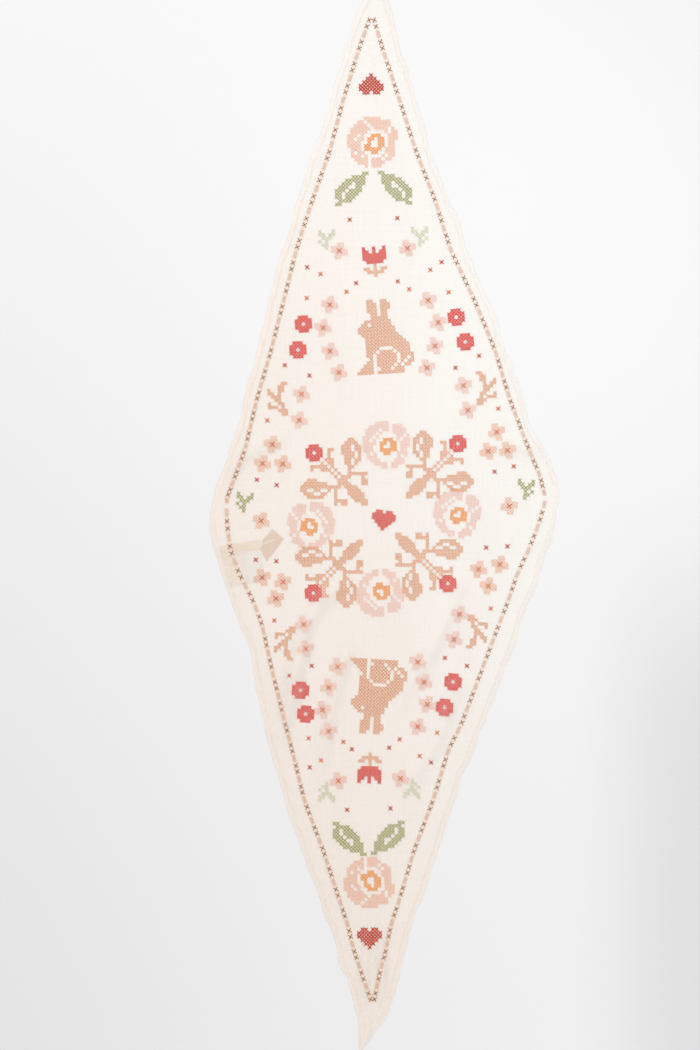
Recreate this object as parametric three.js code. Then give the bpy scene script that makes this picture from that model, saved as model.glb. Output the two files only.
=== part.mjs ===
// A thin cotton head scarf cut as a long diamond, laid out flat and face up,
// with its hem turned all round and two tape labels sewn in at the left corner.
// Millimetres. X runs across the cloth, Y along it, and Z up from the surface it lies on.
import * as THREE from 'three';

const CLOTH_LENGTH = 1091;
const CLOTH_WIDTH = 350;
const CLOTH_THICKNESS = 1;
const HEM_WIDTH = 6;
const HEM_THICKNESS = 1.8;
const HEM_STEP = 1.5;
const SIDE_CORNER_SHIFT = 8; // how far the side corners lie above half length

const HALF_LENGTH = CLOTH_LENGTH / 2;
const HALF_WIDTH = CLOTH_WIDTH / 2;

// The cloth's left and right edges as it lies, row by row from the top point to the tail.
const SECTIONS = [
  { y: 545.5, left: -11.5, right: -8.5 },
  { y: 509.5, left: -22, right: 3.5 },
  { y: 459.5, left: -40.5, right: 17.5 },
  { y: 409.5, left: -55.5, right: 31.5 },
  { y: 359.5, left: -71.5, right: 45.5 },
  { y: 309.5, left: -87.5, right: 66.5 },
  { y: 259.5, left: -102.5, right: 85.5 },
  { y: 209.5, left: -116.5, right: 104.5 },
  { y: 159.5, left: -127.5, right: 123.5 },
  { y: 109.5, left: -141.5, right: 139.5 },
  { y: 59.5, left: -155.5, right: 161.5 },
  { y: 34.5, left: -166.5, right: 172 },
  { y: 9.5, left: -175, right: 174.5 },
  { y: -15.5, left: -173.5, right: 171.5 },
  { y: -40.5, left: -171.5, right: 164.5 },
  { y: -65.5, left: -163.5, right: 156.5 },
  { y: -90.5, left: -156.5, right: 146.5 },
  { y: -115.5, left: -143.5, right: 136.5 },
  { y: -165.5, left: -131, right: 118.5 },
  { y: -215.5, left: -122.5, right: 100.5 },
  { y: -265.5, left: -108.5, right: 81.5 },
  { y: -340.5, left: -87.5, right: 54.5 },
  { y: -390.5, left: -67.5, right: 42.5 },
  { y: -440.5, left: -49.5, right: 24.5 },
  { y: -490.5, left: -36.5, right: 10.5 },
  { y: -515.5, left: -27.5, right: -1.5 },
  { y: -527, left: -25, right: -14 },
  { y: -538.5, left: -25.5, right: -20 },
  { y: -545.5, left: -24.5, right: -22.5 },
];

// Soft creases: each runs between two places, spreads to its reach on either side
// and stands up by its rise along the middle.
const FOLDS = [
  { name: 'long slanting fold, left', fromX: -50, fromY: -95, toX: -100, toY: -182, reach: 19, rise: 6 },
  { name: 'second fold beside it', fromX: -30, fromY: -128, toX: -52, toY: -205, reach: 17, rise: 4 },
  { name: 'its lower end', fromX: -52, fromY: -205, toX: -60, toY: -255, reach: 15, rise: 3 },
  { name: 'long slanting fold, right', fromX: 84, fromY: -96, toX: 43, toY: -225, reach: 20, rise: 6 },
  { name: 'kink at the right border', fromX: 66, fromY: -218, toX: 29, toY: -272, reach: 15, rise: 5 },
  { name: 'drawn-in pleat, left', fromX: -16, fromY: -325, toX: -18, toY: -478, reach: 13, rise: 4 },
  { name: 'drawn-in pleat, right', fromX: -1, fromY: -345, toX: -11, toY: -500, reach: 11, rise: 5 },
  { name: 'gathered tail', fromX: -12, fromY: -495, toX: -24, toY: -541, reach: 9, rise: 3.5 },
  { name: 'crease from the left margin', fromX: -146, fromY: 45, toX: -108, toY: 70, reach: 17, rise: 4 },
  { name: 'crease from the right margin', fromX: 152, fromY: 60, toX: 112, toY: 63, reach: 17, rise: 4 },
  { name: 'fold above the labels', fromX: -168, fromY: -46, toX: -122, toY: -30, reach: 17, rise: 2.5 },
  { name: 'ripple in the upper margin', fromX: -80, fromY: 344, toX: -62, toY: 353, reach: 14, rise: 3 },
  { name: 'lift below the top point', fromX: -12, fromY: 470, toX: -9, toY: 395, reach: 14, rise: 3 },
];

const LABEL_THICKNESS = 1;
const LABEL_GAP = 0.35;
// The place where the cloth lies over the labels, and how far it takes to come down again.
const LABEL_BUMP = { x: -134, y: -48, halfX: 46, halfY: 45, slope: 22 };

// Both labels start at the hem: rootX and rootY are the middle of that end.
const CARE_LABEL = { length: 37, width: 31, rootX: -158.5, rootY: -62.5, turn: 12 };
const WOVEN_LABEL = { tapeLength: 41, tapeWidth: 10, rootX: -164, rootY: -40, turn: 14 };
// The woven label's turned-over end, as corners along and across its tape.
const KITE_CORNERS = [
  { along: 42, across: -21 },
  { along: 65, across: -5 },
  { along: 54, across: 8 },
];

function smoothStep(value) {
  const t = Math.min(1, Math.max(0, value));
  return t * t * (3 - 2 * t);
}

// The edge named by side, read between the two sections on either side of y.
function edgeAt(y, side) {
  const below = Math.max(1, SECTIONS.findIndex((section) => section.y <= y));
  const upper = SECTIONS[below - 1];
  const lower = SECTIONS[below];
  const share = (upper.y - y) / (upper.y - lower.y);
  return upper[side] + (lower[side] - upper[side]) * share;
}

function foldRise(fold, x, y) {
  const runX = fold.toX - fold.fromX;
  const runY = fold.toY - fold.fromY;
  const along = ((x - fold.fromX) * runX + (y - fold.fromY) * runY) / (runX * runX + runY * runY);
  const nearest = Math.min(1, Math.max(0, along));
  const away = Math.hypot(x - fold.fromX - runX * nearest, y - fold.fromY - runY * nearest);
  const closeness = Math.max(0, 1 - (away / fold.reach) ** 2);
  return fold.rise * closeness * closeness;
}

// Height of the cloth's underside over the surface.
function undersideAt(x, y) {
  const outX = Math.abs(x - LABEL_BUMP.x) - LABEL_BUMP.halfX;
  const outY = Math.abs(y - LABEL_BUMP.y) - LABEL_BUMP.halfY;
  const cover = smoothStep(1 - outX / LABEL_BUMP.slope) * smoothStep(1 - outY / LABEL_BUMP.slope);
  const overLabels = (LABEL_THICKNESS + LABEL_GAP) * cover;
  return FOLDS.reduce((height, fold) => height + foldRise(fold, x, y), overLabels);
}

// Grid lines run parallel to the cloth's four edges: one at each edge, two that bound
// the step at the inside of the hem, and even ones between.
const EVEN_CELLS = 38;
const EDGE_LENGTH = Math.hypot(HALF_LENGTH, HALF_WIDTH);
const SPAN_ACROSS = (2 * HALF_LENGTH * HALF_WIDTH) / EDGE_LENGTH;
const HEM_INSIDE = HEM_WIDTH / SPAN_ACROSS;
const STEP_INSIDE = (HEM_WIDTH + HEM_STEP) / SPAN_ACROSS;

function gridLines() {
  const lines = [0, HEM_INSIDE];
  for (let i = 0; i <= EVEN_CELLS; i += 1) {
    lines.push(STEP_INSIDE + ((1 - 2 * STEP_INSIDE) * i) / EVEN_CELLS);
  }
  lines.push(1 - HEM_INSIDE, 1);
  return lines;
}

function isHem(share) {
  return Math.min(share, 1 - share) < (HEM_INSIDE + STEP_INSIDE) / 2;
}

// Places a point of the flat diamond, given as shares of its two edge directions,
// where it lies on the surface: [x, y, underside, topside].
function layPoint(rightward, leftward) {
  const flatY = HALF_LENGTH * (1 - rightward - leftward);
  const flatX = HALF_WIDTH * (rightward - leftward);
  const halfRow = HALF_WIDTH * (1 - Math.abs(flatY) / HALF_LENGTH);
  const y = flatY + SIDE_CORNER_SHIFT * (1 - Math.abs(flatY) / HALF_LENGTH);
  const left = edgeAt(y, 'left');
  const right = edgeAt(y, 'right');
  const across = halfRow > 0 ? flatX / halfRow : 0;
  const x = (left + right) / 2 + (across * (right - left)) / 2;
  const underside = undersideAt(x, y);
  const thickness = isHem(rightward) || isHem(leftward) ? HEM_THICKNESS : CLOTH_THICKNESS;
  return [x, y, underside, underside + thickness];
}

function clothGeometry() {
  const lines = gridLines();
  const count = lines.length;
  const topside = [];
  const underside = [];
  for (const rightward of lines) {
    for (const leftward of lines) {
      const [x, y, low, high] = layPoint(rightward, leftward);
      topside.push(x, y, high);
      underside.push(x, y, low);
    }
  }

  const sheet = count * count;
  const at = (i, j) => i * count + j;
  const faces = [];
  const addFace = (a, b, c) => {
    faces.push(a, b, c);
    faces.push(sheet + a, sheet + c, sheet + b);
  };
  for (let i = 0; i < count - 1; i += 1) {
    for (let j = 0; j < count - 1; j += 1) {
      addFace(at(i, j), at(i, j + 1), at(i + 1, j));
      addFace(at(i + 1, j), at(i, j + 1), at(i + 1, j + 1));
    }
  }

  const addRim = (a, b) => faces.push(a, sheet + a, b, b, sheet + a, sheet + b);
  const last = count - 1;
  for (let i = 0; i < last; i += 1) {
    addRim(at(0, i), at(0, i + 1));
    addRim(at(i, last), at(i + 1, last));
    addRim(at(last, last - i), at(last, last - i - 1));
    addRim(at(last - i, 0), at(last - i - 1, 0));
  }

  const geometry = new THREE.BufferGeometry();
  geometry.setAttribute('position', new THREE.Float32BufferAttribute([...topside, ...underside], 3));
  geometry.setIndex(faces);
  geometry.computeVertexNormals();
  return geometry;
}

function clothPanel() {
  const voile = new THREE.MeshStandardMaterial({ color: '#f5ede6', roughness: 0.95, metalness: 0 });
  const mesh = new THREE.Mesh(clothGeometry(), voile);
  mesh.name = 'cloth_panel';
  return mesh;
}

function placeLabel(name, geometry, material, { rootX, rootY, turn }) {
  const mesh = new THREE.Mesh(geometry, material);
  mesh.name = name;
  mesh.position.set(rootX, rootY, 0);
  mesh.rotation.z = THREE.MathUtils.degToRad(turn);
  return mesh;
}

// A plain tape, sewn by one side into the hem and lying inward under the cloth.
function careLabel() {
  const satin = new THREE.MeshStandardMaterial({ color: '#f4f1ee', roughness: 0.5, metalness: 0 });
  const { length, width } = CARE_LABEL;
  const tape = new THREE.BoxGeometry(length, width, LABEL_THICKNESS);
  tape.translate(length / 2, 0, LABEL_THICKNESS / 2);
  return placeLabel('care_label', tape, satin, CARE_LABEL);
}

// A narrow tape whose free end is turned over on itself into a kite.
function wovenLabel() {
  const taffeta = new THREE.MeshStandardMaterial({ color: '#c9a47e', roughness: 0.7, metalness: 0 });
  const { tapeLength, tapeWidth } = WOVEN_LABEL;
  const outline = new THREE.Shape();
  outline.moveTo(0, tapeWidth / 2);
  outline.lineTo(0, -tapeWidth / 2);
  outline.lineTo(tapeLength, -tapeWidth / 2);
  for (const corner of KITE_CORNERS) {
    outline.lineTo(corner.along, corner.across);
  }
  outline.lineTo(tapeLength, tapeWidth / 2);
  const tape = new THREE.ExtrudeGeometry(outline, { depth: LABEL_THICKNESS, bevelEnabled: false });
  return placeLabel('woven_label', tape, taffeta, WOVEN_LABEL);
}

const group = new THREE.Group();
group.add(clothPanel(), careLabel(), wovenLabel());

export default group;
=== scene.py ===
import math

import bpy
import numpy as np
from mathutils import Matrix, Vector


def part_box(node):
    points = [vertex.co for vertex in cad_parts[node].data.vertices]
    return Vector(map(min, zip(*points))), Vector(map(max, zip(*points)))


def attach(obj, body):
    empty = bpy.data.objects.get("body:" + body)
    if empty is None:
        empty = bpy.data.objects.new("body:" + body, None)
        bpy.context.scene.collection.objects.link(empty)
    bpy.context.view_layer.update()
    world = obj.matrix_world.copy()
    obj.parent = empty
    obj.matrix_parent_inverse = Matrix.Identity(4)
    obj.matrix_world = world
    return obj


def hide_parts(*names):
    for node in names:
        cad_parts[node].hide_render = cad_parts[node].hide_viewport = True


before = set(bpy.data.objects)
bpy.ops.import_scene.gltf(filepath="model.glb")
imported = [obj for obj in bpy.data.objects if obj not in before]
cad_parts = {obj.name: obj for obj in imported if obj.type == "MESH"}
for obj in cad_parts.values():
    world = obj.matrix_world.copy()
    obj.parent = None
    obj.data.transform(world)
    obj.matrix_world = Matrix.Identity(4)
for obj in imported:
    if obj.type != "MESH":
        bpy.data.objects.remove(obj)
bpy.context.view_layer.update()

# --- Camera, board and light -------------------------------------------------
# The scarf lies face up on a plain white board, and is seen from straight above with its
# long points up and down. A soft key light from the upper left draws the creases, and two
# softboxes at the right and a pale room fill the rest.
# Sizes of the scarf are in millimetres, and those of the camera, lamps and textures in metres.
MM = 0.001
VIEW_HEIGHT = 1.050
VIEW_MIDDLE = (-0.0345, -0.0155)
LENS = 85
SENSOR = 36
camera_data = bpy.data.cameras.new("overhead_camera")
camera_data.lens = LENS
camera_data.sensor_width = SENSOR
camera_data.clip_end = 20
camera = bpy.data.objects.new("overhead_camera", camera_data)
camera.location = (*VIEW_MIDDLE, VIEW_HEIGHT * LENS / SENSOR)
bpy.context.collection.objects.link(camera)
bpy.context.scene.camera = camera


def soft_lamp(name, place, aim, size, power):
    """A round softbox at its place, turned to its aim, in metres."""
    data = bpy.data.lights.new(name, "AREA")
    data.shape = "DISK"
    data.size = size
    data.energy = power
    lamp = bpy.data.objects.new(name, data)
    lamp.location = place
    lamp.rotation_mode = "QUATERNION"
    lamp.rotation_quaternion = (Vector(aim) - Vector(place)).to_track_quat("-Z", "Y")
    lamp.visible_camera = False
    bpy.context.collection.objects.link(lamp)


soft_lamp("upper_left_key", place=(-1.1, 1.5, 1.3), aim=(0, 0.1, 0), size=0.4, power=18)
soft_lamp("lower_softbox", place=(0.35, -1.0, 1.0), aim=(0.2, -0.5, 0), size=0.5, power=4.0)
soft_lamp("upper_right_softbox", place=(0.3, 0.3, 0.9), aim=(0.1, 0.2, 0), size=0.3, power=2.6)
ROOM_COLOUR = (1.0, 0.995, 0.99)
ROOM_STRENGTH = 0.69
world = bpy.data.worlds.new("pale_room")
world.use_nodes = True
room = world.node_tree.nodes["Background"]
room.inputs["Color"].default_value = (*ROOM_COLOUR, 1)
room.inputs["Strength"].default_value = ROOM_STRENGTH
bpy.context.scene.world = world
bpy.context.scene.view_settings.view_transform = "Standard"


def new_material(name, colour, roughness):
    """A matt material with a faint surface shine, and its shader."""
    material = bpy.data.materials.new(name)
    material.use_nodes = True
    shader = material.node_tree.nodes["Principled BSDF"]
    shader.inputs["Base Color"].default_value = (*colour, 1)
    shader.inputs["Roughness"].default_value = roughness
    shader.inputs["Specular IOR Level"].default_value = 0.2
    return material, shader


def noise_tone(material, scale, detail):
    """Noise over the object, stretched by a scale along each axis in metres."""
    nodes, links = material.node_tree.nodes, material.node_tree.links
    position = nodes.new("ShaderNodeTexCoord")
    stretch = nodes.new("ShaderNodeMapping")
    stretch.inputs["Scale"].default_value = scale
    noise = nodes.new("ShaderNodeTexNoise")
    noise.inputs["Scale"].default_value = 1
    noise.inputs["Detail"].default_value = detail
    links.new(position.outputs["Object"], stretch.inputs["Vector"])
    links.new(stretch.outputs["Vector"], noise.inputs["Vector"])
    return noise.outputs["Fac"]


def reckon(material, operation, *values, clamped=False):
    """A sum or product of plain numbers and other nodes' values."""
    node = material.node_tree.nodes.new("ShaderNodeMath")
    node.operation = operation
    node.use_clamp = clamped
    for socket, value in zip(node.inputs, values):
        if isinstance(value, float):
            socket.default_value = value
        else:
            material.node_tree.links.new(value, socket)
    return node.outputs[0]


def fade_along(material, axis, start, end, strength=1.0):
    """Grows from nothing to its strength between two places along an axis, in metres."""
    nodes, links = material.node_tree.nodes, material.node_tree.links
    position = nodes.new("ShaderNodeTexCoord")
    axes = nodes.new("ShaderNodeSeparateXYZ")
    fade = nodes.new("ShaderNodeMapRange")
    fade.interpolation_type = "SMOOTHSTEP"
    fade.inputs["From Min"].default_value = start
    fade.inputs["From Max"].default_value = end
    fade.inputs["To Max"].default_value = strength
    links.new(position.outputs["Object"], axes.inputs[0])
    links.new(axes.outputs[axis], fade.inputs["Value"])
    return fade.outputs["Result"]


def blend(material, factor, first, second):
    """Two colours mixed by a factor."""
    node = material.node_tree.nodes.new("ShaderNodeMix")
    node.data_type = "RGBA"
    # A mix node's colours are its sockets 6 and 7, and its mixed colour is output 2.
    node.inputs[6].default_value = (*first, 1)
    node.inputs[7].default_value = (*second, 1)
    material.node_tree.links.new(factor, node.inputs[0])
    return node.outputs[2]


def add_piece(name, verts, faces, materials, face_slots=None, smooth=True):
    """A mesh object from points in millimetres and faces."""
    mesh = bpy.data.meshes.new(name)
    mesh.from_pydata((np.asarray(verts, float) * MM).tolist(), [], np.asarray(faces).tolist())
    for material in materials:
        mesh.materials.append(material)
    if face_slots is not None:
        mesh.polygons.foreach_set("material_index", np.asarray(face_slots, np.int32))
    mesh.polygons.foreach_set("use_smooth", np.broadcast_to(smooth, len(mesh.polygons)).tolist())
    mesh.update()
    piece = bpy.data.objects.new(name, mesh)
    bpy.context.collection.objects.link(piece)
    return piece


BOARD_REACH = 4000
BOARD_ROUGHNESS = 0.9
BOARD_WHITE = (0.741, 0.736, 0.741)
# The grey of a painted shade towards the board's lower right, and where that shade grows along x and
# along y.
BOARD_PAINTED_SHADE = (0.641, 0.637, 0.643)
BOARD_MOTTLE = 0.03
MOTTLE_SCALE = (40, 40, 40)
PAINTED_SHADE_RIGHTWARD = (0.18, 0.31)
PAINTED_SHADE_DOWNWARD = (0.05, -0.23)


def board_material():
    """Matt white paint, faintly mottled, with painted shade that greys it towards its lower right, where
    the light falls off.
    """
    material, shader = new_material("white_board", BOARD_WHITE, BOARD_ROUGHNESS)
    # Painted shade: the board greys towards its lower right, where less light reaches it; the mottle is
    # the board's own.
    rightward = fade_along(material, "X", *PAINTED_SHADE_RIGHTWARD)
    downward = fade_along(material, "Y", *PAINTED_SHADE_DOWNWARD)
    corner = reckon(material, "MULTIPLY", rightward, downward)
    mottle = noise_tone(material, MOTTLE_SCALE, 3)
    mottle_and_painted_shade = reckon(material, "MULTIPLY_ADD", mottle, BOARD_MOTTLE, corner)
    paint = blend(material, mottle_and_painted_shade, BOARD_WHITE, BOARD_PAINTED_SHADE)
    material.node_tree.links.new(paint, shader.inputs["Base Color"])
    return material


CORNER_WAYS = ((-1, -1), (1, -1), (1, 1), (-1, 1))
board_corners = [(x * BOARD_REACH, y * BOARD_REACH, 0) for x, y in CORNER_WAYS]
board = add_piece("board", board_corners, [(0, 1, 2, 3)], [board_material()], smooth=False)

# --- The cloth ---------------------------------------------------------------
# One long diamond of thin cotton voile, cut on the straight grain. Its raw edge is turned
# under twice and stitched down as a narrow hem, which is denser than the single cloth and
# puckers a little. It has been unfolded and smoothed by hand, so soft creases stay.
cloth_low, cloth_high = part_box("cloth_panel")
HALF_LENGTH = (cloth_high.y - cloth_low.y) / 2 / MM
HALF_WIDTH = (cloth_high.x - cloth_low.x) / 2 / MM
CLOTH_THICKNESS = 0.25
HEM_THICKNESS = 0.34
HEM_WIDTH = 5.6
HEM_SPREAD = 1.5
SPREAD_FROM = -330
SPREAD_OVER = 90
AIR_UNDER_CLOTH = 0.15
NEARLY_NOTHING = 1e-6

# How the cloth lies, row by row from the upper point to the tail: y, the hem's edge at
# left and at right.
EDGE_ROWS = (
    (545.5, -11.5, -8.5),
    (525, -17.5, -1),
    (505, -23.5, 5.5),
    (490, -29.5, 9),
    (470, -37, 14.5),
    (457, -40.5, 17),
    (445, -42.5, 22),
    (422, -51, 28),
    (397, -57.5, 36),
    (385, -60.5, 40),
    (362, -69, 44),
    (350, -75, 49),
    (326, -81.5, 58),
    (302, -89.5, 68),
    (289, -93, 75),
    (266, -99.5, 81),
    (242, -108, 89),
    (218, -113.5, 100),
    (194, -119.5, 111),
    (170, -124.5, 117),
    (146, -131, 127.5),
    (110, -141, 139),
    (86, -145.5, 145),
    (74, -150, 151),
    (62, -154.5, 159),
    (50, -157, 165),
    (38, -162.5, 170.5),
    (26, -168.5, 174.2),
    (13, -172, 174),
    (0, -174.5, 172),
    (-12, -174.8, 172),
    (-34, -173, 165.5),
    (-46, -169, 160.5),
    (-58, -165.5, 157.5),
    (-70, -160.5, 154.5),
    (-94, -153.5, 143.5),
    (-118, -143, 135),
    (-142, -134, 128),
    (-166, -130, 118),
    (-190, -127, 109),
    (-214, -120.5, 100),
    (-226, -118, 93),
    (-250, -112, 87),
    (-262, -108.5, 79),
    (-286, -101.5, 72),
    (-310, -94, 63),
    (-334, -85.5, 57),
    (-346, -81.5, 53),
    (-358, -76.5, 47),
    (-382, -67.5, 41),
    (-406, -60, 30.5),
    (-420, -53.5, 25),
    (-440, -47.5, 21.5),
    (-454, -45.5, 18.5),
    (-461, -43, 15),
    (-468, -37.5, 14.3),
    (-476, -36, 12.3),
    (-490, -31.5, 8.8),
    (-498, -29.5, 6),
    (-506, -27.5, 3.5),
    (-514, -26, -2),
    (-522, -26, -8.5),
    (-530, -26.5, -17),
    (-538, -25.5, -20.5),
    (-545.5, -24.5, -22.5),
)
# The same for the line that the embroidered border runs along, inside the hem.
BORDER_ROWS = (
    (545.5, -10, -10),
    (497, -12.6, -12.6),
    (459.5, -25.9, -1.6),
    (409.5, -41.3, 15),
    (359.5, -54.4, 31),
    (309.5, -72, 50.4),
    (259.5, -88.3, 66.1),
    (209.5, -100.6, 89.7),
    (159.5, -113.3, 110.4),
    (109.5, -127.8, 125.5),
    (59.5, -139.5, 144.4),
    (34.5, -148.8, 155.2),
    (9.5, -158.3, 161.2),
    (-15.5, -157.3, 154),
    (-40.5, -154, 143.9),
    (-65.5, -144.7, 132.3),
    (-90.5, -131.7, 124),
    (-115.5, -122.4, 114.3),
    (-165.5, -111.3, 95.5),
    (-215.5, -98.8, 76.4),
    (-240.5, -92.4, 63.8),
    (-290.5, -80.3, 48.7),
    (-340.5, -61.4, 29.6),
    (-390.5, -45, 14.8),
    (-415.5, -36.7, 6.5),
    (-440.5, -30.8, 1.3),
    (-465.5, -22.1, -5.4),
    (-497, -11.5, -11.5),
    (-545.5, -23.5, -23.5),
)
ROW_STEP = 2.0
ROW_EASE = 4
row_heights = np.arange(-HALF_LENGTH, HALF_LENGTH + ROW_STEP, ROW_STEP)
ease_weights = np.hanning(2 * ROW_EASE + 3)
ease_weights /= ease_weights.sum()


def eased_column(rows, column):
    """One column of a table of rows at every even height, with its corners eased."""
    upward = rows[::-1]
    values = np.interp(row_heights, [row[0] for row in upward], [row[column] for row in upward])
    return np.convolve(np.pad(values, ROW_EASE + 1, mode="edge"), ease_weights, "valid")


laid = {
    "left": eased_column(EDGE_ROWS, 1),
    "right": eased_column(EDGE_ROWS, 2),
    "border_left": eased_column(BORDER_ROWS, 1),
    "border_right": eased_column(BORDER_ROWS, 2),
}


def laid_x(column, y):
    """How far across an edge or border line lies at a height."""
    return np.interp(y, row_heights, laid[column])


# Creases: each runs between two places, bows sideways from the straight line, spreads to
# its reach and stands up by its rise.
CREASES = (
    # from x, y, to x, y, bow, reach, rise
    (-50, -82, -80, -120, -4, 14, 4.6),
    (-80, -118, -93, -168, 2, 16, 5.4),
    (-88, -164, -101, -216, 0, 16, 5.2),
    (-41, -113, -46, -160, 5, 12, 2.6),
    (-40, -152, -61, -250, -3, 13, 4.4),
    (72, -84, 34, -162, 2, 16, 4.7),
    (28, -170, 10, -205, 0, 14, 2.4),
    (65, -190, 30, -265, 5, 15, 4.4),
    (-19, -432, -21, -494, 0, 9, 4.2),
    (-4, -430, -2, -492, 0, 9, 4.4),
    (-14, -496, -24, -541, 2, 7, 3.0),
    (-150, 44, -106, 71, 3, 14, 3.4),
    (152, 60, 112, 63, 0, 15, 3.2),
    (-170, -47, -122, -29, 2, 10, 2.4),
    (-82, 343, -60, 354, 0, 10, 2.0),
)
CREASE_SPREAD = 0.55
CREASE_RUN_OUT = 1.1
CREASE_END_RISE = 0.35
CREASE_SWELL = (0.12, 0.76)
# Low swells all over the cloth: their rise, lengths, wander and start.
SWELL_RISE = 0.35
SWELL_LENGTH = 31
SWELL_WANDER = 1.3
SWELL_WANDER_LENGTH = 67
SWELL_LENGTH_ALONG = 43
SWELL_START = 0.7
# Fine pleats that gather along the middle of the lower half.
PLEATS_FROM = -190
PLEATS_OVER = 90
PLEATS_RIGHT = 3
PLEATS_REACH = 20
PLEAT_RISE = 0.3
PLEAT_PITCH = 1.55
PLEAT_WANDER = 0.8
PLEAT_WANDER_LENGTH = 37
# The cloth is lifted a little where the labels lie under it.
LABEL_RISE = 0.45
LABEL_PLACE = (-134, -48)
LABEL_HALF = (40, 36)
LABEL_SLOPE = 14
# The hems pucker, and their outer rims settle on the board.
PUCKER_REACH = 11.0
PUCKER_RISE = 0.42
PUCKER_LEVEL = 1.4
PUCKER_SHIFT = 11
TUCK_PITCH = 1.7
TUCK_WANDER = 1.5
TUCK_WANDER_LENGTH = 23.0
TUCK_SHARE = 0.4
EDGE_LEAN = 0.95
RIM_SETTLES = 0.85
RIM_REACH = 2.6
HEM_SIDES = (
    # edge, which way is inward, phase of its puckers
    ("left", 1, 0.4),
    ("right", -1, 2.3),
)
HEM_WAVES = (
    # length, phases, wander, its length, its phases, share
    (9.1, 1.0, 1.7, 61.0, 1.0, 0.62),
    (3.7, 2.1, 1.2, 29.0, 0.0, 0.38),
)


def ease(value):
    """Runs smoothly from 0 to 1, and stays there."""
    t = np.clip(value, 0, 1)
    return t * t * (3 - 2 * t)


def hem_ripple(along, phase):
    """Uneven waves along a hem, from about -1 to 1, as its stitching draws it in."""
    ripple = 0.0
    for length, phases, wander, wander_length, wander_phases, share in HEM_WAVES:
        bend = wander * np.sin(along / wander_length + wander_phases * phase)
        ripple = ripple + share * np.sin(along / length + phases * phase + bend)
    return ripple


def crease_height(x, y, from_x, from_y, to_x, to_y, bow, reach, rise):
    """How much one crease adds to the height of the cloth."""
    run = math.hypot(to_x - from_x, to_y - from_y)
    along_x, along_y = (to_x - from_x) / run, (to_y - from_y) / run
    along = (x - from_x) * along_x + (y - from_y) * along_y
    share = np.clip(along / run, 0, 1)
    across = (y - from_y) * along_x - (x - from_x) * along_y - bow * 4 * share * (1 - share)
    past_end = along - share * run
    beside = (across / (CREASE_SPREAD * reach)) ** 2
    beyond = (past_end / (CREASE_RUN_OUT * reach)) ** 2
    swell = np.sin(np.pi * (CREASE_SWELL[0] + CREASE_SWELL[1] * share))
    fade = CREASE_END_RISE + (1 - CREASE_END_RISE) * swell
    return rise * np.exp(-beside - beyond) * fade


def lie(x, y):
    """Height of the cloth's underside above the board."""
    swell = np.sin(x / SWELL_LENGTH + SWELL_WANDER * np.sin(y / SWELL_WANDER_LENGTH))
    swell = swell * np.sin(y / SWELL_LENGTH_ALONG + SWELL_START)
    height = AIR_UNDER_CLOTH + SWELL_RISE * (1 + swell)
    for crease in CREASES:
        height = height + crease_height(x, y, *crease)
    middle = (laid_x("border_left", y) + laid_x("border_right", y)) / 2 + PLEATS_RIGHT
    gathered = ease((PLEATS_FROM - y) / PLEATS_OVER) * np.exp(-(((x - middle) / PLEATS_REACH) ** 2))
    pleats = np.sin(x / PLEAT_PITCH + PLEAT_WANDER * np.sin(y / PLEAT_WANDER_LENGTH))
    height = height + PLEAT_RISE * gathered * (1 + pleats)
    out_x = np.abs(x - LABEL_PLACE[0]) - LABEL_HALF[0]
    out_y = np.abs(y - LABEL_PLACE[1]) - LABEL_HALF[1]
    height = height + LABEL_RISE * ease(1 - out_x / LABEL_SLOPE) * ease(1 - out_y / LABEL_SLOPE)
    settled = 1.0
    for column, inward, phase in HEM_SIDES:
        depth = inward * (x - laid_x(column, y)) * EDGE_LEAN
        nearness = np.exp(-((depth / PUCKER_REACH) ** 2))
        tucks = np.sin(y / TUCK_PITCH + phase + TUCK_WANDER * np.sin(y / TUCK_WANDER_LENGTH))
        puckers = PUCKER_LEVEL + hem_ripple(y + PUCKER_SHIFT, phase + 1) + TUCK_SHARE * tucks
        height = height + PUCKER_RISE * nearness * puckers
        settled = settled * (1 - RIM_SETTLES * np.exp(-((depth / RIM_REACH) ** 2)))
    return AIR_UNDER_CLOTH + (height - AIR_UNDER_CLOTH) * settled


# The sheet is one grid whose lines run parallel to the four edges, closer in the hem.
EDGE_LENGTH = math.hypot(HALF_LENGTH, HALF_WIDTH)
SPAN_ACROSS = 2 * HALF_LENGTH * HALF_WIDTH / EDGE_LENGTH
HEM_LINES = (0.0, 0.7, 1.9, 3.4, 4.8, HEM_WIDTH, HEM_WIDTH + 0.9)
EVEN_CELLS = 182
SIDE_SHIFT = 8.0
ROLLED_EDGE = 1.8
FOLD_PAST_SEAM = 0.6
FOLD_STEP = 0.9
RIM_THINNESS = 0.25
RIM_ROUNDING = 1.6
LINE_SLACK = 0.01
RIPPLE_OUT = 0.9
RIPPLE_REACH = 8.0
TIP_REACH = 60


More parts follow.
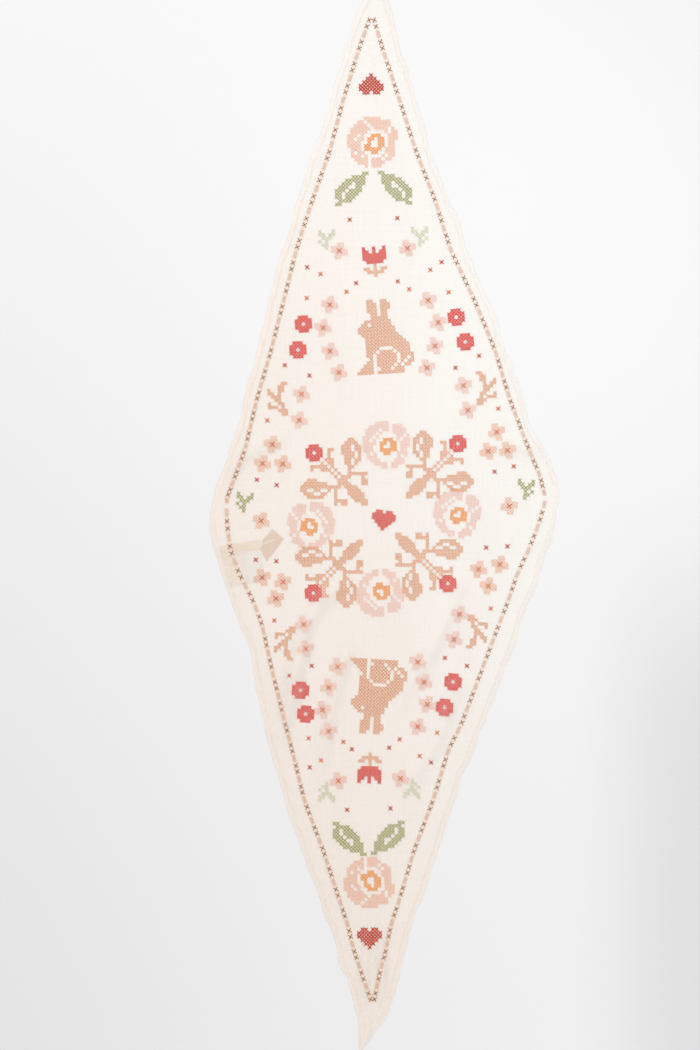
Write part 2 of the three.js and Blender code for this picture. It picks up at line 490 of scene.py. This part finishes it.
def laid_point(rightward, leftward):
    """Where a point of the flat diamond lies, given its shares of the way to two edges."""
    flat_x = HALF_WIDTH * (rightward - leftward)
    flat_y = HALF_LENGTH * (1 - rightward - leftward)
    taper = 1 - np.abs(flat_y) / HALF_LENGTH
    y = flat_y + SIDE_SHIFT * taper
    share = np.clip(flat_x / np.maximum(HALF_WIDTH * taper, NEARLY_NOTHING), -1, 1)
    left, right = laid_x("left", y), laid_x("right", y)
    x = (left + right) / 2 + share * (right - left) / 2
    tip_fade = ease(taper * HALF_LENGTH / TIP_REACH)
    sides = (
        # share in from the edge, share along it, which way is out, phase
        (rightward, leftward, -1, 0.4),
        (leftward, rightward, 1, 2.3),
        (1 - rightward, leftward, 1, 4.1),
        (1 - leftward, rightward, -1, 5.2),
    )
    for inward, along, outward_x, phase in sides:
        nearness = np.exp(-((inward * SPAN_ACROSS / RIPPLE_REACH) ** 2)) * tip_fade
        x = x + outward_x * RIPPLE_OUT * nearness * hem_ripple(along * EDGE_LENGTH, phase)
    return x, y


even_lines = np.linspace(HEM_LINES[-1], SPAN_ACROSS - HEM_LINES[-1], EVEN_CELLS + 1)
grid_lines = np.concatenate([HEM_LINES[:-1], even_lines, SPAN_ACROSS - np.array(HEM_LINES[-2::-1])])
line_count = len(grid_lines)
rightward, leftward = np.meshgrid(grid_lines / SPAN_ACROSS, grid_lines / SPAN_ACROSS, indexing="ij")
edge_distance = SPAN_ACROSS * np.minimum.reduce([rightward, leftward, 1 - rightward, 1 - leftward])
sheet_x, sheet_y = laid_point(rightward, leftward)
# Towards the tail the hem is drawn up and spreads wider.
hem_width = HEM_WIDTH + HEM_SPREAD * ease((SPREAD_FROM - sheet_y) / SPREAD_OVER)
hem_fold = ease((hem_width + FOLD_PAST_SEAM - edge_distance) / FOLD_STEP)
thickness = CLOTH_THICKNESS + (HEM_THICKNESS - CLOTH_THICKNESS) * hem_fold
thickness *= RIM_THINNESS + (1 - RIM_THINNESS) * ease(edge_distance / RIM_ROUNDING)
under = lie(sheet_x, sheet_y)
sheet_verts = np.concatenate([
    np.stack([sheet_x, sheet_y, under + thickness], -1).reshape(-1, 3),
    np.stack([sheet_x, sheet_y, under], -1).reshape(-1, 3),
])
point_id = np.arange(line_count * line_count).reshape(line_count, line_count)
cell = (point_id[:-1, :-1], point_id[:-1, 1:], point_id[1:, 1:], point_id[1:, :-1])
top_faces = np.stack([corner.ravel() for corner in cell], -1)
bottom_faces = top_faces[:, ::-1] + point_id.size
rim = np.concatenate([point_id[0, :-1], point_id[:-1, -1], point_id[-1, :0:-1], point_id[:0:-1, 0]])
rim_next = np.roll(rim, -1)
rim_faces = np.stack([rim, rim + point_id.size, rim_next + point_id.size, rim_next], -1)
cell_depth = np.minimum(edge_distance[:-1, :-1], edge_distance[1:, 1:]).ravel()
cell_hem = np.minimum(hem_width[:-1, :-1], hem_width[1:, 1:]).ravel()
in_hem = cell_depth < cell_hem - LINE_SLACK
cell_slots = np.where(cell_depth < ROLLED_EDGE, 2, np.where(in_hem, 1, 0))
sheet_slots = np.concatenate([cell_slots, cell_slots, np.full(len(rim_faces), 2)])
sheet_smooth = np.concatenate([np.full(2 * len(top_faces), True), np.full(len(rim_faces), False)])


MIDDLE_OF_NOISE = (0.3, 0.7)


def remap(material, value, low, high):
    """The middle range of a noise spread between low and high."""
    node = material.node_tree.nodes.new("ShaderNodeMapRange")
    node.inputs["From Min"].default_value = MIDDLE_OF_NOISE[0]
    node.inputs["From Max"].default_value = MIDDLE_OF_NOISE[1]
    node.inputs["To Min"].default_value = low
    node.inputs["To Max"].default_value = high
    material.node_tree.links.new(value, node.inputs["Value"])
    return node.outputs["Result"]


def add_bump(material, shader, height, distance, strength):
    """Fine relief from a node's value, over a distance in metres."""
    node = material.node_tree.nodes.new("ShaderNodeBump")
    node.inputs["Strength"].default_value = strength
    node.inputs["Distance"].default_value = distance
    material.node_tree.links.new(height, node.inputs["Height"])
    material.node_tree.links.new(node.outputs["Normal"], shader.inputs["Normal"])


WARP_STREAKS = (2600, 22, 2600)
WEFT_STREAKS = (18, 2600, 2600)
YARN_CONTRAST = 0.025
YARN_RELIEF = 0.0001
YARN_RELIEF_STRENGTH = 0.3
VOILE_ROUGHNESS = 0.85
VOILE_SHEEN = 0.15
SHEEN_ROUGHNESS = 0.6
FRESH_AND_PAINTED_HIGHLIGHT_COLOUR = (0.985, 0.95, 0.90)
WORN_COLOUR = (0.98, 0.877, 0.786)
WEAR_PATCHES = (16, 4, 10)
WEAR_CONTRAST = 0.3
# Painted light: how the cream lessens towards the upper right, where the lamps are brightest, and more
# along the right side.
PAINTED_LIGHT_PER_METRE = (-1.7, -1.1, 0)
PAINTED_LIGHT_RIGHTWARD = (-0.02, 0.09)
PAINTED_LIGHT_ON_THE_RIGHT = 0.3


def voile_material(name, cover, wear_from):
    """Voile: crossed fine yarns with slubs, seen through between them, creamier in random worn patches,
    with painted light that makes it whiter towards the upper right and the right side.
    """
    material, shader = new_material(name, FRESH_AND_PAINTED_HIGHLIGHT_COLOUR, VOILE_ROUGHNESS)
    nodes, links = material.node_tree.nodes, material.node_tree.links
    half_weft = reckon(material, "MULTIPLY", noise_tone(material, WEFT_STREAKS, 2), 0.5)
    yarns = reckon(material, "MULTIPLY_ADD", noise_tone(material, WARP_STREAKS, 2), 0.5, half_weft)
    covering = remap(material, yarns, cover - YARN_CONTRAST, cover + YARN_CONTRAST)
    links.new(covering, shader.inputs["Alpha"])
    # Painted light: the colour leans whiter towards the upper right and the right side and creamier
    # towards the lower left; the noise patches are random wear.
    position = nodes.new("ShaderNodeTexCoord")
    side = nodes.new("ShaderNodeVectorMath")
    side.operation = "DOT_PRODUCT"
    side.inputs[1].default_value = PAINTED_LIGHT_PER_METRE
    links.new(position.outputs["Object"], side.inputs[0])
    whiter_by_painted_light = fade_along(material, "X", *PAINTED_LIGHT_RIGHTWARD, -PAINTED_LIGHT_ON_THE_RIGHT)
    patches = remap(material, noise_tone(material, WEAR_PATCHES, 3), wear_from, wear_from + WEAR_CONTRAST)
    painted_light_lean = reckon(material, "ADD", side.outputs["Value"], whiter_by_painted_light)
    wear_and_painted_light = reckon(material, "ADD", patches, painted_light_lean, clamped=True)
    links.new(blend(material, wear_and_painted_light, FRESH_AND_PAINTED_HIGHLIGHT_COLOUR, WORN_COLOUR), shader.inputs["Base Color"])
    add_bump(material, shader, yarns, YARN_RELIEF, YARN_RELIEF_STRENGTH)
    shader.inputs["Sheen Weight"].default_value = VOILE_SHEEN
    shader.inputs["Sheen Roughness"].default_value = SHEEN_ROUGHNESS
    return material


cream_voile = voile_material("cream_voile", cover=0.33, wear_from=0.35)
hem_voile = voile_material("turned_hem_voile", cover=0.38, wear_from=0.7)
edge_voile = voile_material("rolled_edge_voile", cover=0.25, wear_from=0.7)
cloth = add_piece(
    "voile_diamond",
    sheet_verts,
    np.concatenate([top_faces, bottom_faces, rim_faces]),
    [cream_voile, hem_voile, edge_voile],
    sheet_slots,
    sheet_smooth,
)
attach(cloth, "root")
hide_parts("cloth_panel")

# --- The hem seam ------------------------------------------------------------
# One line of small cream running stitches in sewing thread holds the turned hem down, a
# little inside its folded edge, all the way round.
SEAM_DEPTH = 4.9
SEAM_PITCH = 3.2
SEAM_STITCH = 2.3
SEAM_END_GAP = 26
SEAM_STRAND = 0.16
SEAM_RISE = 0.1
THREAD_FLATNESS = 0.38
THREAD_ROUGHNESS = 0.6
THREAD_SHARES = (0.0, 0.26, 0.74, 1.0)
THREAD_SWELL = (0.9, 1.0, 1.0, 0.9)
THREAD_SPECKLE = (430, 430, 430)
DEEPER = 0.78
LIGHTER = 1.16
LIGHTEST = 0.97
DIP = 0.04
rng = np.random.default_rng(11)


def thread_lengths(start_x, start_y, end_x, end_y, radius, base, rise, flatness=THREAD_FLATNESS):
    """Verts and faces of short thread lengths that arch up and dip in at both ends."""
    share = np.array(THREAD_SHARES)
    swell = radius * np.array(THREAD_SWELL)
    arch = np.array([-DIP, rise, rise, -DIP])
    px = start_x[:, None] + (end_x - start_x)[:, None] * share
    py = start_y[:, None] + (end_y - start_y)[:, None] * share
    run = np.maximum(np.hypot(end_x - start_x, end_y - start_y), NEARLY_NOTHING)
    side_x, side_y = -(end_y - start_y) / run, (end_x - start_x) / run
    pz = lie(px, py) + base + arch
    ring = []
    for turn in range(0, 360, 60):
        out, up = math.cos(math.radians(turn)), math.sin(math.radians(turn))
        ring.append(np.stack([
            px + side_x[:, None] * out * swell,
            py + side_y[:, None] * out * swell,
            pz + flatness * up * swell,
        ], -1))
    verts = np.stack(ring, 2)
    ids = np.arange(verts.size // 3).reshape(verts.shape[:3])
    turned = np.roll(ids, -1, axis=2)
    sides = np.stack([ids[:, :-1], turned[:, :-1], turned[:, 1:], ids[:, 1:]], -1).reshape(-1, 4)
    ends = np.concatenate([ids[:, 0, ::-1], ids[:, -1]])
    return verts.reshape(-1, 3), np.concatenate([sides, ends[:, :4], ends[:, [0, 3, 4, 5]]])


def cotton_thread(name, colour):
    """Stranded cotton: soft lustre, each stitch a little lighter or darker."""
    material, shader = new_material(name, colour, THREAD_ROUGHNESS)
    speckle = noise_tone(material, THREAD_SPECKLE, 1)
    deep = tuple(DEEPER * part for part in colour)
    light = tuple(min(LIGHTER * part, LIGHTEST) for part in colour)
    material.node_tree.links.new(blend(material, speckle, deep, light), shader.inputs["Base Color"])
    return material


def sew(name, parts, material):
    """One joined piece from lists of stitch verts and faces, held by the cloth."""
    verts = np.concatenate([part[0] for part in parts])
    starts = np.cumsum([0] + [len(part[0]) for part in parts[:-1]])
    faces = np.concatenate([part[1] + start for part, start in zip(parts, starts)])
    piece = add_piece(name, verts, faces, [material])
    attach(piece, "root")


seam_parts = []
depth = SEAM_DEPTH / SPAN_ACROSS
seam_starts = np.arange(SEAM_END_GAP, EDGE_LENGTH - SEAM_END_GAP, SEAM_PITCH)
for side in range(4):
    ends = []
    for place_along in (seam_starts, seam_starts + SEAM_STITCH):
        along = place_along / EDGE_LENGTH
        inward = np.full(len(along), depth)
        pair = ((inward, along), (along, inward), (1 - inward, along), (along, 1 - inward))[side]
        ends.append(laid_point(*pair))
    (x0, y0), (x1, y1) = ends
    seam_parts.append(thread_lengths(x0, y0, x1, y1, SEAM_STRAND, HEM_THICKNESS, SEAM_RISE))
sew("hem_seam", seam_parts, cotton_thread("cream_sewing_thread", (0.82, 0.7, 0.57)))

# --- The care label ----------------------------------------------------------
# A plain white satin label, sewn by one end into the hem at the left corner and folded, so
# that only its outer part is double. It lies under the cloth and shows through it. Both of
# its faces are bare.
CARE_LENGTH = 37
CARE_WIDTH = 31
CARE_SINGLE = 19.5
CARE_ROOT = (-158.5, -62.5)
CARE_TURN = 12
LABEL_THICKNESS = 0.2
LABEL_FLOAT = 0.08
LABEL_CURL = 0.08
CURL_LENGTHS = (5.3, 6.1)
CURL_START = 0.4
LABEL_CELLS = 10
SATIN_RIBS = (60, 900, 100)
SATIN_ROUGHNESS = 0.4
RIB_RELIEF = 0.00008
RIB_RELIEF_STRENGTH = 0.4


def label_plate(quads, lifts, turn, root):
    """Verts and faces of thin, slightly curled plates, one on each four-cornered outline."""
    verts, faces = [], []
    cosine, sine = math.cos(math.radians(turn)), math.sin(math.radians(turn))
    side = LABEL_CELLS + 1
    for ((ax, ay), (bx, by), (cx, cy), (dx, dy)), lift in zip(quads, lifts):
        start = len(verts)
        for i in range(side):
            for j in range(side):
                u, v = i / LABEL_CELLS, j / LABEL_CELLS
                along = (ax * (1 - v) + bx * v) * (1 - u) + (dx * (1 - v) + cx * v) * u
                across = (ay * (1 - v) + by * v) * (1 - u) + (dy * (1 - v) + cy * v) * u
                x = root[0] + along * cosine - across * sine
                y = root[1] + along * sine + across * cosine
                wave = math.sin(along / CURL_LENGTHS[0]) * math.sin(across / CURL_LENGTHS[1] + CURL_START)
                bottom = LABEL_FLOAT + LABEL_CURL * (1 + wave) / 2 + lift
                verts.append((x, y, bottom))
                verts.append((x, y, bottom + LABEL_THICKNESS))
        ids = start + 2 * np.arange(side * side).reshape(side, side)
        lower = np.stack([ids[:-1, :-1], ids[:-1, 1:], ids[1:, 1:], ids[1:, :-1]], -1).reshape(-1, 4)
        loop = np.concatenate([ids[0, :-1], ids[:-1, -1], ids[-1, :0:-1], ids[:0:-1, 0]])
        ahead = np.roll(loop, -1)
        faces += [lower, lower[:, ::-1] + 1, np.stack([loop, loop + 1, ahead + 1, ahead], -1)]
    return verts, np.concatenate(faces)


def ribbed_material(name, colour, deep_colour, roughness, ribs):
    """Narrow woven label stuff with fine ribs across it."""
    material, shader = new_material(name, colour, roughness)
    weave = noise_tone(material, ribs, 2)
    material.node_tree.links.new(blend(material, weave, deep_colour, colour), shader.inputs["Base Color"])
    add_bump(material, shader, weave, RIB_RELIEF, RIB_RELIEF_STRENGTH)
    return material


def add_label(name, node, quads, slots, lifts, turn, root, materials):
    """A label of plates, each in its material slot, at its lift, turned about its root."""
    verts, faces = label_plate(quads, lifts, turn, root)
    face_slots = np.repeat(slots, len(faces) // len(quads))
    label = add_piece(name, verts, faces, materials, face_slots)
    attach(label, "root")
    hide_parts(node)


care_quads = []
for near, far in ((0, CARE_SINGLE), (CARE_SINGLE, CARE_LENGTH)):
    care_quads.append((
        (near, -CARE_WIDTH / 2),
        (near, CARE_WIDTH / 2),
        (far, CARE_WIDTH / 2),
        (far, -CARE_WIDTH / 2),
    ))
# Painted shade: the white satin is given greys for the shade it lies in under the cloth, and the single
# layer's colour also stands for the board seen through it.
single_satin_in_painted_shade = ribbed_material(
    "single_satin_in_painted_shade", (0.68, 0.63, 0.60), (0.64, 0.60, 0.57), SATIN_ROUGHNESS, SATIN_RIBS
)
double_satin_in_painted_shade = ribbed_material(
    "double_satin_in_painted_shade", (0.67, 0.69, 0.74), (0.60, 0.62, 0.67), SATIN_ROUGHNESS, SATIN_RIBS
)
add_label(
    "care_tape",
    "care_label",
    care_quads,
    slots=(0, 1),
    lifts=(0, 0),
    turn=CARE_TURN,
    root=CARE_ROOT,
    materials=[single_satin_in_painted_shade, double_satin_in_painted_shade],
)

# --- The woven label ---------------------------------------------------------
# A narrow tan cotton tape, sewn into the same hem just above the care label. It is folded
# over on itself at a slant, so its end makes a kite that is double and darker, with a painted
# highlight along the fold. Its other end runs down inside the hem. It too is bare.
TAPE_ROOT = (-164, -40)
TAPE_TURN = 14
TAPE_ROUGHNESS = 0.8
TAPE_RIBS = (900, 60, 100)
KITE_WEAVE = (500, 500, 100)
# Each plate's four corners: the tape, the kite's two halves, the end inside the hem in two
# lengths, and the painted highlight along the fold.
tape_quads = [
    ((0, -4), (0, 4), (40, -0.5), (38.5, -9.5)),
    ((38.6, -10.1), (44, -0.4), (55.4, 7.1), (63.9, -5.3)),
    ((38.6, -10.1), (63.9, -5.3), (52.9, -14.2), (41.9, -23)),
    ((0, -4), (4.5, -4.5), (8.5, -19.6), (4.6, -18.7)),
    ((4.6, -18.7), (8.5, -19.6), (7.5, -35.9), (3.4, -35.9)),
    ((42, -5.3), (42, -4.4), (55, -3.2), (55, -4.1)),
]
tape_materials = [
    ribbed_material(name, colour, deep_colour, TAPE_ROUGHNESS, ribs)
    for name, colour, deep_colour, ribs in (
        ("single_tan_tape", (0.69, 0.57, 0.42), (0.64, 0.52, 0.36), TAPE_RIBS),
        ("inner_tan_tape", (0.71, 0.56, 0.36), (0.66, 0.51, 0.31), TAPE_RIBS),
        ("double_tan_tape", (0.58, 0.30, 0.04), (0.36, 0.16, 0.01), KITE_WEAVE),
        ("painted_fold_highlight", (0.9, 0.84, 0.72), (0.85, 0.78, 0.66), TAPE_RIBS),
    )
]
add_label(
    "woven_tape",
    "woven_label",
    tape_quads,
    slots=(0, 2, 2, 1, 1, 3),
    lifts=(0, 0, 0, 0.22, 0.22, 0.22),
    turn=TAPE_TURN,
    root=TAPE_ROOT,
    materials=tape_materials,
)

# --- The embroidered border --------------------------------------------------
# A line of cross stitch in stranded cotton runs round the cloth inside the hem: two brown
# crosses, then a short pale pink bar of three small crosses, over and over on each side. Its
# peach threads run on behind the cloth from cross to cross.
FLAT_HALF_LENGTH = 497.0
FLAT_HALF_WIDTH = 160.0
BOW_DOWN = 11.0
BOW_ENDS = 19.0
SKEW = 0.08
SKEW_EASE = 0.72
FURTHEST_OUT = 1.6
FIRST_CROSS = 8.0
REPEAT = 22.44
PAIR_GAP = 6.4
BAR_PLACE = 14.4
BAR_PITCH = 2.3
BORDER_CROSS = 4.3
BORDER_STRAND = 0.36
BAR_CROSS = (4.0, 2.3)
BAR_STRAND = 0.2
BACK_STITCH = 4.0
BACK_OFFSETS = (-0.8, 0.8)
BACK_STRAND = 0.6
BACK_FLATNESS = 0.15
BACK_SINKS = 0.04
FIRST_ARM_RISE = 0.02
SECOND_ARM_RISE = 0.1
UNEVENNESS = 0.07


def place(s, t):
    """Lays a point of the flat embroidered diamond (s across, t along) on the board."""
    fade = np.clip(1 - np.abs(t) / FLAT_HALF_LENGTH, 0, 1)
    outward = (s / FLAT_HALF_WIDTH) ** 4
    skew = SKEW * s * (1 - SKEW_EASE * outward)
    y = t + fade * (-BOW_DOWN + BOW_ENDS * outward + skew)
    row_half = np.maximum(FLAT_HALF_WIDTH * fade, NEARLY_NOTHING)
    share = np.clip(s / row_half, -FURTHEST_OUT, FURTHEST_OUT)
    left, right = laid_x("border_left", y), laid_x("border_right", y)
    return (left + right) / 2 + share * (right - left) / 2, y


def crossed_threads(corners, radius, lift=0.0):
    """Verts and faces of cross stitches from arrays of their four laid corners in turn."""
    arms, start_id = [], 0
    for first, second, rise in ((0, 2, FIRST_ARM_RISE), (1, 3, SECOND_ARM_RISE)):
        shift = rng.normal(0, UNEVENNESS, (4, len(corners[0][0])))
        verts, faces = thread_lengths(
            corners[first][0] + shift[0],
            corners[first][1] + shift[1],
            corners[second][0] + shift[2],
            corners[second][1] + shift[3],
            radius,
            CLOTH_THICKNESS + lift,
            rise,
        )
        arms.append((verts, faces + start_id))
        start_id += len(verts)
    return np.concatenate([arm[0] for arm in arms]), np.concatenate([arm[1] for arm in arms])


side_length = math.hypot(FLAT_HALF_WIDTH, FLAT_HALF_LENGTH)
lean_x, lean_y = FLAT_HALF_WIDTH / side_length, FLAT_HALF_LENGTH / side_length


def side_place(distances, right, up, offset=0.0):
    """Where these distances from an end point lie along one side of the border."""
    across = lean_x * distances + offset
    along = FLAT_HALF_LENGTH - lean_y * distances
    return np.stack(place(right * across, up * along))


def side_crosses(distances, size, radius):
    """Crosses at these distances from the two end points along all four sides."""
    parts = []
    for right in (1, -1):
        for up in (1, -1):
            middle = side_place(distances, right, up)
            way = side_place(distances + 1, right, up) - side_place(distances - 1, right, up)
            way /= np.hypot(*way)
            across = np.stack([-way[1], way[0]])
            corners = [middle + (u * size[0] * across + v * size[1] * way) / 2 for u, v in CORNER_WAYS]
            parts.append(crossed_threads(corners, radius))
    return parts


def running_threads(distances, offset):
    """Threads that run on behind the cloth along all four sides, from cross to cross."""
    parts = []
    for right in (1, -1):
        for up in (1, -1):
            x, y = side_place(distances, right, up, offset)
            ends = (x[:-1], y[:-1], x[1:], y[1:])
            parts.append(thread_lengths(*ends, BACK_STRAND, -BACK_SINKS, -DIP, BACK_FLATNESS))
    return parts


repeats = FIRST_CROSS + REPEAT * np.arange(round((side_length - FIRST_CROSS) / REPEAT))
pair_places = np.concatenate([repeats, repeats + PAIR_GAP])
bar_places = np.concatenate([repeats + BAR_PLACE + BAR_PITCH * step for step in (-1, 0, 1)])
back_places = np.arange(FIRST_CROSS - BACK_STITCH / 2, side_length - BACK_STITCH, BACK_STITCH)
border_crosses = side_crosses(pair_places, (BORDER_CROSS, BORDER_CROSS), BORDER_STRAND)
sew("border_crosses", border_crosses, cotton_thread("brown_thread", (0.29, 0.085, 0.01)))
border_bars = side_crosses(bar_places, BAR_CROSS, BAR_STRAND)
sew("border_bars", border_bars, cotton_thread("pale_pink_thread", (0.70, 0.38, 0.26)))
border_back = [part for offset in BACK_OFFSETS for part in running_threads(back_places, offset)]
sew("border_back", border_back, cotton_thread("light_peach_thread", (0.97, 0.61, 0.34)))

# --- The embroidery in the middle --------------------------------------------
# Counted cross stitch in stranded cotton: a wreath of roses with leaf sprays and berries,
# and hearts, roses, rabbits, tulips and blossoms towards both points. It is worked through
# the single cloth from charts, the same left to right and end to end.
STITCH = 3.4
COARSE_STITCH = 3.5
LARGE_CROSS = 4.8
LONE_CROSS = 4.0
BOLD_STRAND = 0.5
LARGE_LIFT = 0.18
UPRIGHT_SPAN = 20
# One sign in a chart is one stitch: "#" in the motif's own thread, "o" in orange, "t" in tan.
CHARTS = {
    "heart": """
...#...
..###..
.#####.
#######
#######
.##.##.
""",
    "small heart": """
.##.##.
#######
#######
.#####.
..###..
...#...
""",
    "end rose": """
.....#####.....
...##.#######..
..####.######..
.######.####.#.
.#####.....#.##
###.#..ooo..###
##.##.oo.oo.###
####..o..oo.##.
####.oo..oo.##.
.###.ooooo.###.
.#.##..oo..###.
.###.#....#.##.
..####.###.##..
...###.####....
.....#.###.....
""",
    "wreath rose": """
....####......
..######.###..
.####.##.####.
.###.#...####.
###.#.....##.#
##.#..ooo.#.##
####.oo.oo.###
###..o..oo.###
###..ooooo.##.
.#.#..oo..###.
.###......#.#.
..###....###..
...####.####..
.....##.##....
""",
    "leaf": """
##........
.####.....
.######...
.###.###..
..##..###.
..####.###
...####.##
....###.##
.....####.
........##
""",
    "blossom": """
.##..
.####
##.##
####.
..##.
""",
    "berry": """
.###.
#####
##.##
#####
.###.
""",
    "sprig": """
#...#
##.##
.###.
..#.#
..##.
..#..
""",
    "twig": """
.##.....
..##....
..##..#.
...#.##.
...###..
...##...
..##..#.
..#.###.
.###....
.##.....
""",
    "tulip": """
#..#..#
##.#.##
#######
#######
.#####.
...t...
tt.t.tt
.ttttt.
...t...
""",
    "rabbit": """
.....##..##.......
.....###.###......
.....###.###......
.....###.##.......
......##.##.......
......#####.......
....########......
...##.######......
..###########.....
..###########.....
...###########....
....###########...
....############..
....#############.
....####....#####.
....###.####.####.
....##.######.####
.....#.######.##.#
....##.######.#.##
...###.#####.#.##.
..####..###.###...
.#####.########...
""",
    "spray": """
....##..............
...####.............
..##.###............
..##.###..##........
..#.####...#........
..#.###....#........
..##.##...##........
...#.##...#..#......
....##....#.#.......
.....#.....#........
######....#.........
.#...###.#..........
##.....##...........
##...###............
...###..............
..###...............
.###................
.##.................
##..................
#...................
""",
}
# Each thread's colour and the half width of its strand.
THREADS = {
    "dark red": ((0.53, 0.03, 0.004), 0.60),
    "red": ((0.69, 0.014, 0.001), 0.57),
    "salmon": ((0.91, 0.36, 0.18), 0.26),
    "pink": ((0.91, 0.37, 0.26), 0.21),
    "peach": ((0.90, 0.39, 0.20), 0.27),
    "orange": ((0.90, 0.27, 0.002), 0.46),
    "rust": ((0.66, 0.12, 0.01), 0.39),
    "olive": ((0.27, 0.275, 0.003), 0.36),
    "mint": ((0.50, 0.53, 0.27), 0.24),
    "tan": ((0.70, 0.205, 0.003), 0.31),
}
SIGN_THREADS = {"o": "orange", "t": "tan"}
COARSE_CHARTS = ("heart",)
# Each blossom has one large rust cross for its middle.
CHART_MIDDLES = {"blossom": "rust"}
BOTH_ENDS = ((1, 1), (1, -1))
BOTH_SIDES = ((1, 1), (-1, 1))
ALL_FOUR = ((1, 1), (-1, 1), (1, -1), (-1, -1))
ONCE = ((1, 1),)
MOTIFS = (
    # chart, thread, across and along from the middle, its mirrored copies
    ("heart", "dark red", 0, 427, BOTH_ENDS),
    ("end rose", "salmon", 0, 370, BOTH_ENDS),
    ("leaf", "olive", 21, 325, ALL_FOUR),
    ("blossom", "pink", 33, 265, ALL_FOUR),
    ("sprig", "mint", 45, 276, ALL_FOUR),
    ("tulip", "red", 0, 253, BOTH_ENDS),
    ("rabbit", "tan", 0, 180, BOTH_ENDS),
    ("blossom", "pink", 47, 213, ALL_FOUR),
    ("blossom", "pink", 55, 191, ALL_FOUR),
    ("blossom", "pink", 50, 168, ALL_FOUR),
    ("blossom", "pink", 42, 147, ALL_FOUR),
    ("berry", "red", 80, 170, ALL_FOUR),
    ("berry", "red", 73, 195, ALL_FOUR),
    ("twig", "tan", 101, 122, ALL_FOUR),
    ("blossom", "pink", 78, 127, ALL_FOUR),
    ("blossom", "pink", 82, 102, ALL_FOUR),
    ("blossom", "peach", 110, 77, ALL_FOUR),
    ("blossom", "peach", 100, 59, ALL_FOUR),
    ("blossom", "peach", 120, 57, ALL_FOUR),
    ("blossom", "peach", 125, 0, BOTH_SIDES),
    ("sprig", "olive", 138, 14, BOTH_SIDES),
    ("spray", "tan", 51, 51, ALL_FOUR),
    ("berry", "red", 70, 70, ALL_FOUR),
    ("wreath rose", "pink", 0, 74, BOTH_ENDS),
    ("wreath rose", "pink", 74, 0, BOTH_SIDES),
    ("small heart", "red", 0, 0, ONCE),
)
LONE_CROSSES = (
    # thread, across and along from the middle; each has all four mirrored copies
    ("dark red", 23, 295),
    ("rust", 53, 243),
    ("dark red", 20, 233),
    ("rust", 68, 220),
    ("dark red", 93, 155),
    ("dark red", 70, 145),
    ("rust", 113, 100),
    ("dark red", 125, 40),
    ("dark red", 105, 38),
    ("rust", 30, 225),
    ("dark red", 65, 250),
)
# The spray chart is half a spray; the other half is its mirror over the slant.
MIRRORED_CHARTS = ("spray",)


def chart_cells(name):
    """Each worked cell of a chart: stitches across and up from its middle, and its sign."""
    rows = CHARTS[name].split()
    cells = {}
    for down, row in enumerate(rows):
        for across, sign in enumerate(row):
            if sign != ".":
                cells[(across - (len(row) - 1) / 2, (len(rows) - 1) / 2 - down)] = sign
    if name in MIRRORED_CHARTS:
        cells.update({(up, across): sign for (across, up), sign in list(cells.items())})
    return cells


def board_spot(across, along, right, up):
    """Where a stitch lies: its motif laid at its place, upright to the middle line there."""
    centre = np.array(place(across, along))
    below = np.array(place(0, along - UPRIGHT_SPAN))
    above = np.array(place(0, along + UPRIGHT_SPAN))
    up_x, up_y = (above - below) / np.hypot(*(above - below))
    return (
        centre[0] + up_y * right + up_x * up,
        centre[1] - up_x * right + up_y * up,
        up_x,
        up_y,
    )


def stitched_crosses(spots, size, radius, lift):
    """Crosses of a size worked at these laid spots, each with its own upright."""
    x, y, up_x, up_y = np.array(sorted(spots)).T
    corners = []
    for right, up in CORNER_WAYS:
        corner_x = x + (up_y * right + up_x * up) * size / 2
        corner_y = y + (up_y * up - up_x * right) * size / 2
        corners.append((corner_x, corner_y))
    return crossed_threads(corners, radius, lift)


stitches = {thread: {} for thread in THREADS}
for name, thread, across, along, copies in MOTIFS:
    pitch = COARSE_STITCH if name in COARSE_CHARTS else STITCH
    for flip_across, flip_along in copies:
        centre = (flip_across * across, flip_along * along)
        for (right, up), sign in chart_cells(name).items():
            spot = board_spot(*centre, flip_across * pitch * right, flip_along * pitch * up)
            stitches[SIGN_THREADS.get(sign, thread)].setdefault(pitch, set()).add(spot)
        if name in CHART_MIDDLES:
            stitches[CHART_MIDDLES[name]].setdefault(LARGE_CROSS, set()).add(board_spot(*centre, 0, 0))
for thread, across, along in LONE_CROSSES:
    for flip_across, flip_along in ALL_FOUR:
        spot = board_spot(flip_across * across, flip_along * along, 0, 0)
        stitches[thread].setdefault(LONE_CROSS, set()).add(spot)
bold_crosses = {LARGE_CROSS: (BOLD_STRAND, LARGE_LIFT), LONE_CROSS: (BOLD_STRAND, 0)}
for thread, (colour, strand) in THREADS.items():
    parts = []
    for size, spots in stitches[thread].items():
        radius, lift = bold_crosses.get(size, (strand, 0))
        parts.append(stitched_crosses(spots, size, radius, lift))
    plain_name = thread.replace(" ", "_")
    sew(plain_name + "_thread", parts, cotton_thread(plain_name + "_cotton", colour))
